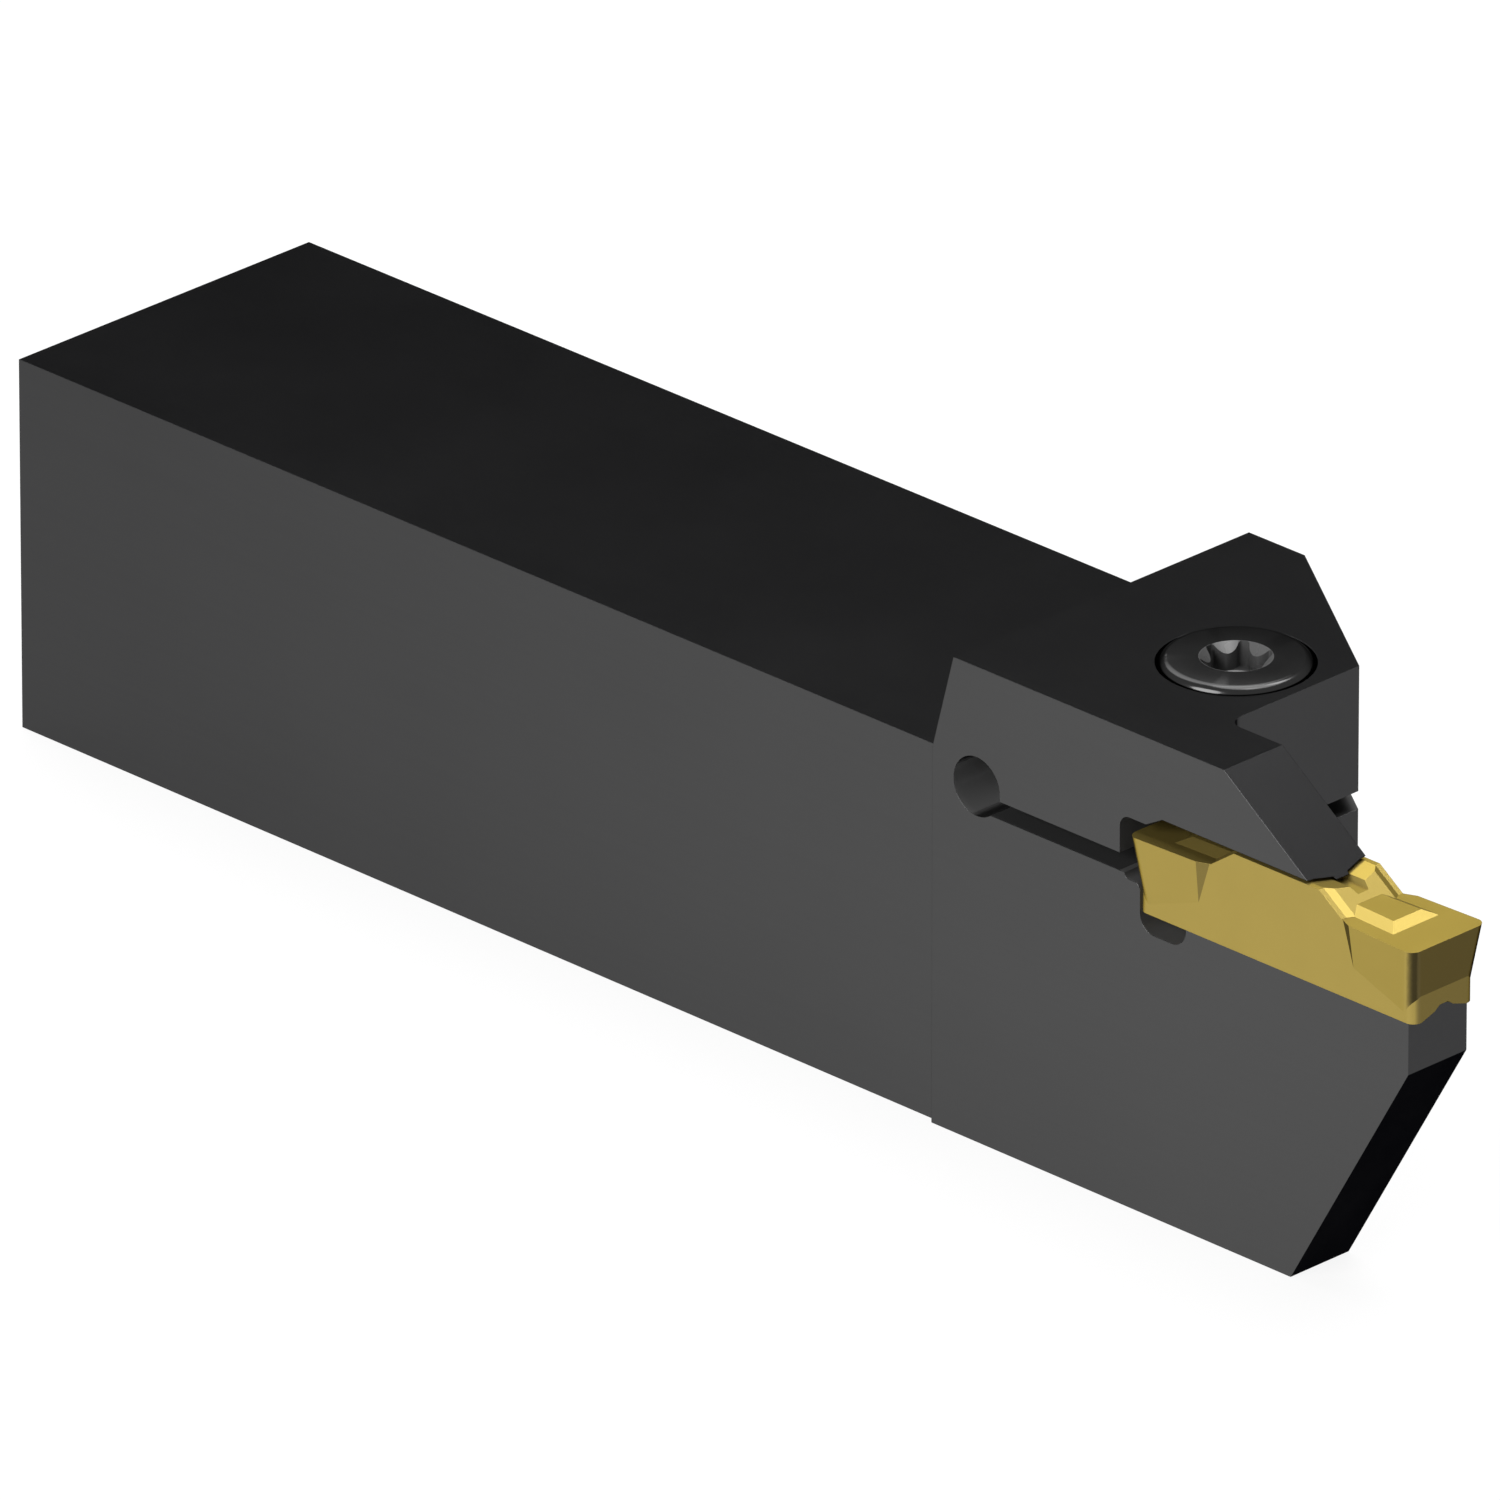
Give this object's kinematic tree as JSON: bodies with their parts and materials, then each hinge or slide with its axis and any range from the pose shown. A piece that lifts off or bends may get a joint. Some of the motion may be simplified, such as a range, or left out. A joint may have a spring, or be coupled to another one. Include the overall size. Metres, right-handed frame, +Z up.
{
  "type": "parting tool holder",
  "caption": "Square-shank lathe tool holder whose sprung jaw, pulled down by a screw, clamps a double-ended parting insert on a thin blade.",
  "frame": {"origin": "centre of the shank's flat base", "axes": "+X along the shank towards the cutting end, +Z up from the base, +Y towards the side away from the blade"},
  "size_m": [0.1205, 0.0261, 0.032],
  "materials": {
    "blackened_steel": "blackened, satin",
    "screw_steel": "blackened, satin",
    "gold_coating": "hard gold-coloured coating, satin"
  },
  "bodies": {
    "root": {"holder_body": "blackened_steel", "clamp_screw": "screw_steel", "parting_insert": "gold_coating"}
  },
  "joints": []
}
